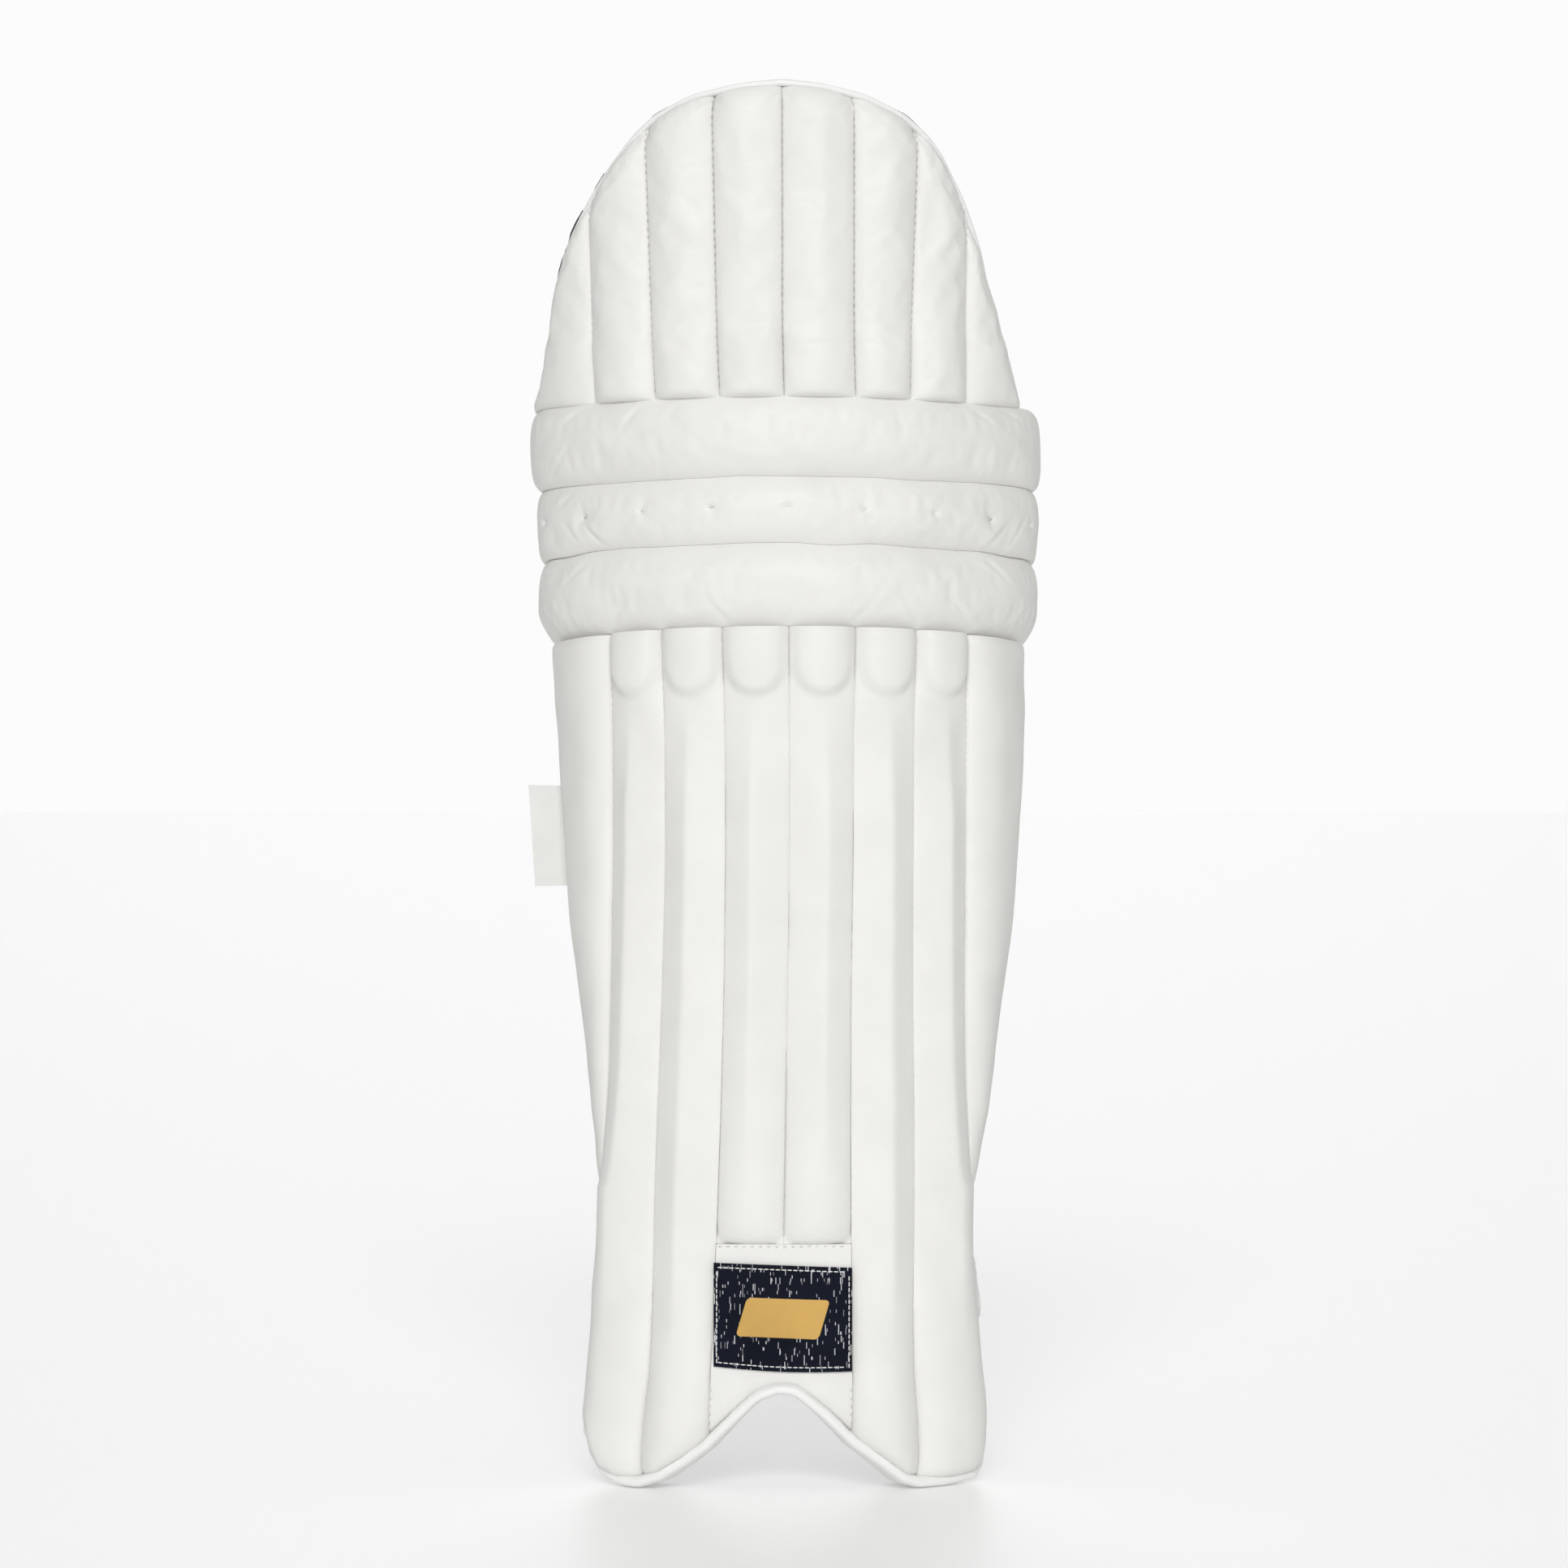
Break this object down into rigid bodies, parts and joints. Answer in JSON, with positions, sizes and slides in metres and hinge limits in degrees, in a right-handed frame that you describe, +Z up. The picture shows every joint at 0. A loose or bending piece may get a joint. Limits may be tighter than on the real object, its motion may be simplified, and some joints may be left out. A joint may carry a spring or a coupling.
{
  "type": "cricket leg pad",
  "caption": "Padded guard for a batter's shin, knee and lower thigh, with ribbed shin and top flap, knee rolls, side wings and rear straps.",
  "frame": {"origin": "on the leg's axis, level with the lowest edge of the pad", "axes": "+Z up along the leg, -Y the front of the pad, +X the side on the right in the front view"},
  "size_m": [0.2664, 0.1927, 0.729],
  "materials": {
    "hide": "smooth white coated hide with a fine grain, satin",
    "binding": "white coated tape, satin",
    "dark_lining": "dark brushed lining cloth, matt",
    "inner_fabric": "pale woven lining over foam, matt",
    "cane": "split cane, dry",
    "badge_fabric": "dark navy woven patch with white flecks",
    "webbing": "white woven webbing",
    "hook_tape": "dark hook tape",
    "loop_tape": "brushed loop tape",
    "label": "plain woven label"
  },
  "bodies": {
    "shin": {"shin_channel_1": "hide", "shin_channel_2": "hide", "shin_channel_3": "hide", "shin_channel_4": "hide", "shin_channel_5": "hide", "shin_channel_6": "hide", "shin_cane_1": "cane", "shin_cane_2": "cane", "shin_cane_3": "cane", "shin_cane_4": "cane", "shin_cane_5": "cane", "shin_cane_6": "cane", "shin_backing": "inner_fabric", "shin_bolster_left": "inner_fabric", "shin_bolster_right": "inner_fabric", "instep_panel": "hide", "badge_patch": "badge_fabric", "foot_binding": "binding", "wing_left": "hide", "wing_right": "hide", "wing_lining_left": "inner_fabric", "wing_lining_right": "inner_fabric", "wing_binding_left": "binding", "wing_binding_right": "binding", "loop_patch_top": "loop_tape", "strap_anchor_top": "webbing", "loop_patch_middle": "loop_tape", "strap_anchor_middle": "webbing", "loop_patch_ankle": "loop_tape", "strap_anchor_ankle": "webbing"},
    "knee_lower": {"knee_roll_lower": "hide", "knee_lining_lower": "inner_fabric"},
    "knee_middle": {"knee_roll_middle": "hide", "knee_lining_middle": "inner_fabric"},
    "knee_upper": {"knee_roll_upper": "hide", "knee_lining_upper": "inner_fabric"},
    "top_flap": {"flap_channel_1": "hide", "flap_channel_2": "hide", "flap_channel_3": "hide", "flap_channel_4": "hide", "flap_channel_5": "hide", "flap_channel_6": "hide", "flap_channel_7": "hide", "flap_channel_8": "hide", "flap_lining": "dark_lining", "flap_binding": "binding"},
    "strap_top": {"strap_top": "webbing", "hook_tape_top": "hook_tape"},
    "strap_middle": {"strap_middle": "webbing", "hook_tape_middle": "hook_tape"},
    "strap_ankle": {"strap_ankle": "webbing", "hook_tape_ankle": "hook_tape"},
    "tag": {"side_tag": "label"}
  },
  "joints": [
    {"name": "knee_fold_lower", "type": "hinge", "parent": "shin", "child": "knee_lower", "pos_m": [0, -0.06, 0.446], "axis": [-1, 0, 0], "range_deg": [0, 7]},
    {"name": "knee_fold_middle", "type": "hinge", "parent": "knee_lower", "child": "knee_middle", "pos_m": [0, -0.06, 0.488], "axis": [-1, 0, 0], "range_deg": [0, 7]},
    {"name": "knee_fold_upper", "type": "hinge", "parent": "knee_middle", "child": "knee_upper", "pos_m": [0, -0.06, 0.523], "axis": [-1, 0, 0], "range_deg": [0, 7]},
    {"name": "flap_fold", "type": "hinge", "parent": "knee_upper", "child": "top_flap", "pos_m": [0, -0.06, 0.561], "axis": [-1, 0, 0], "range_deg": [0, 7]},
    {"name": "strap_top_swing", "type": "hinge", "parent": "shin", "child": "strap_top", "pos_m": [-0.1201, -0.0068, 0.402], "axis": [0, 0, 1], "range_deg": [0, 95]},
    {"name": "strap_middle_swing", "type": "hinge", "parent": "shin", "child": "strap_middle", "pos_m": [-0.1052, -0.0188, 0.259], "axis": [0, 0, 1], "range_deg": [0, 95]},
    {"name": "strap_ankle_swing", "type": "hinge", "parent": "shin", "child": "strap_ankle", "pos_m": [-0.0923, -0.0468, 0.101], "axis": [0, 0, 1], "range_deg": [0, 95]},
    {"name": "tag_flip", "type": "hinge", "parent": "shin", "child": "tag", "pos_m": [-0.11759, -0.0515, 0.337], "axis": [0, 0, 1], "range_deg": [-60, 60]}
  ],
  "couplings": [
    {"joint": "knee_fold_middle", "follows": "knee_fold_lower", "ratio": 1},
    {"joint": "knee_fold_upper", "follows": "knee_fold_lower", "ratio": 1},
    {"joint": "flap_fold", "follows": "knee_fold_lower", "ratio": 1}
  ]
}
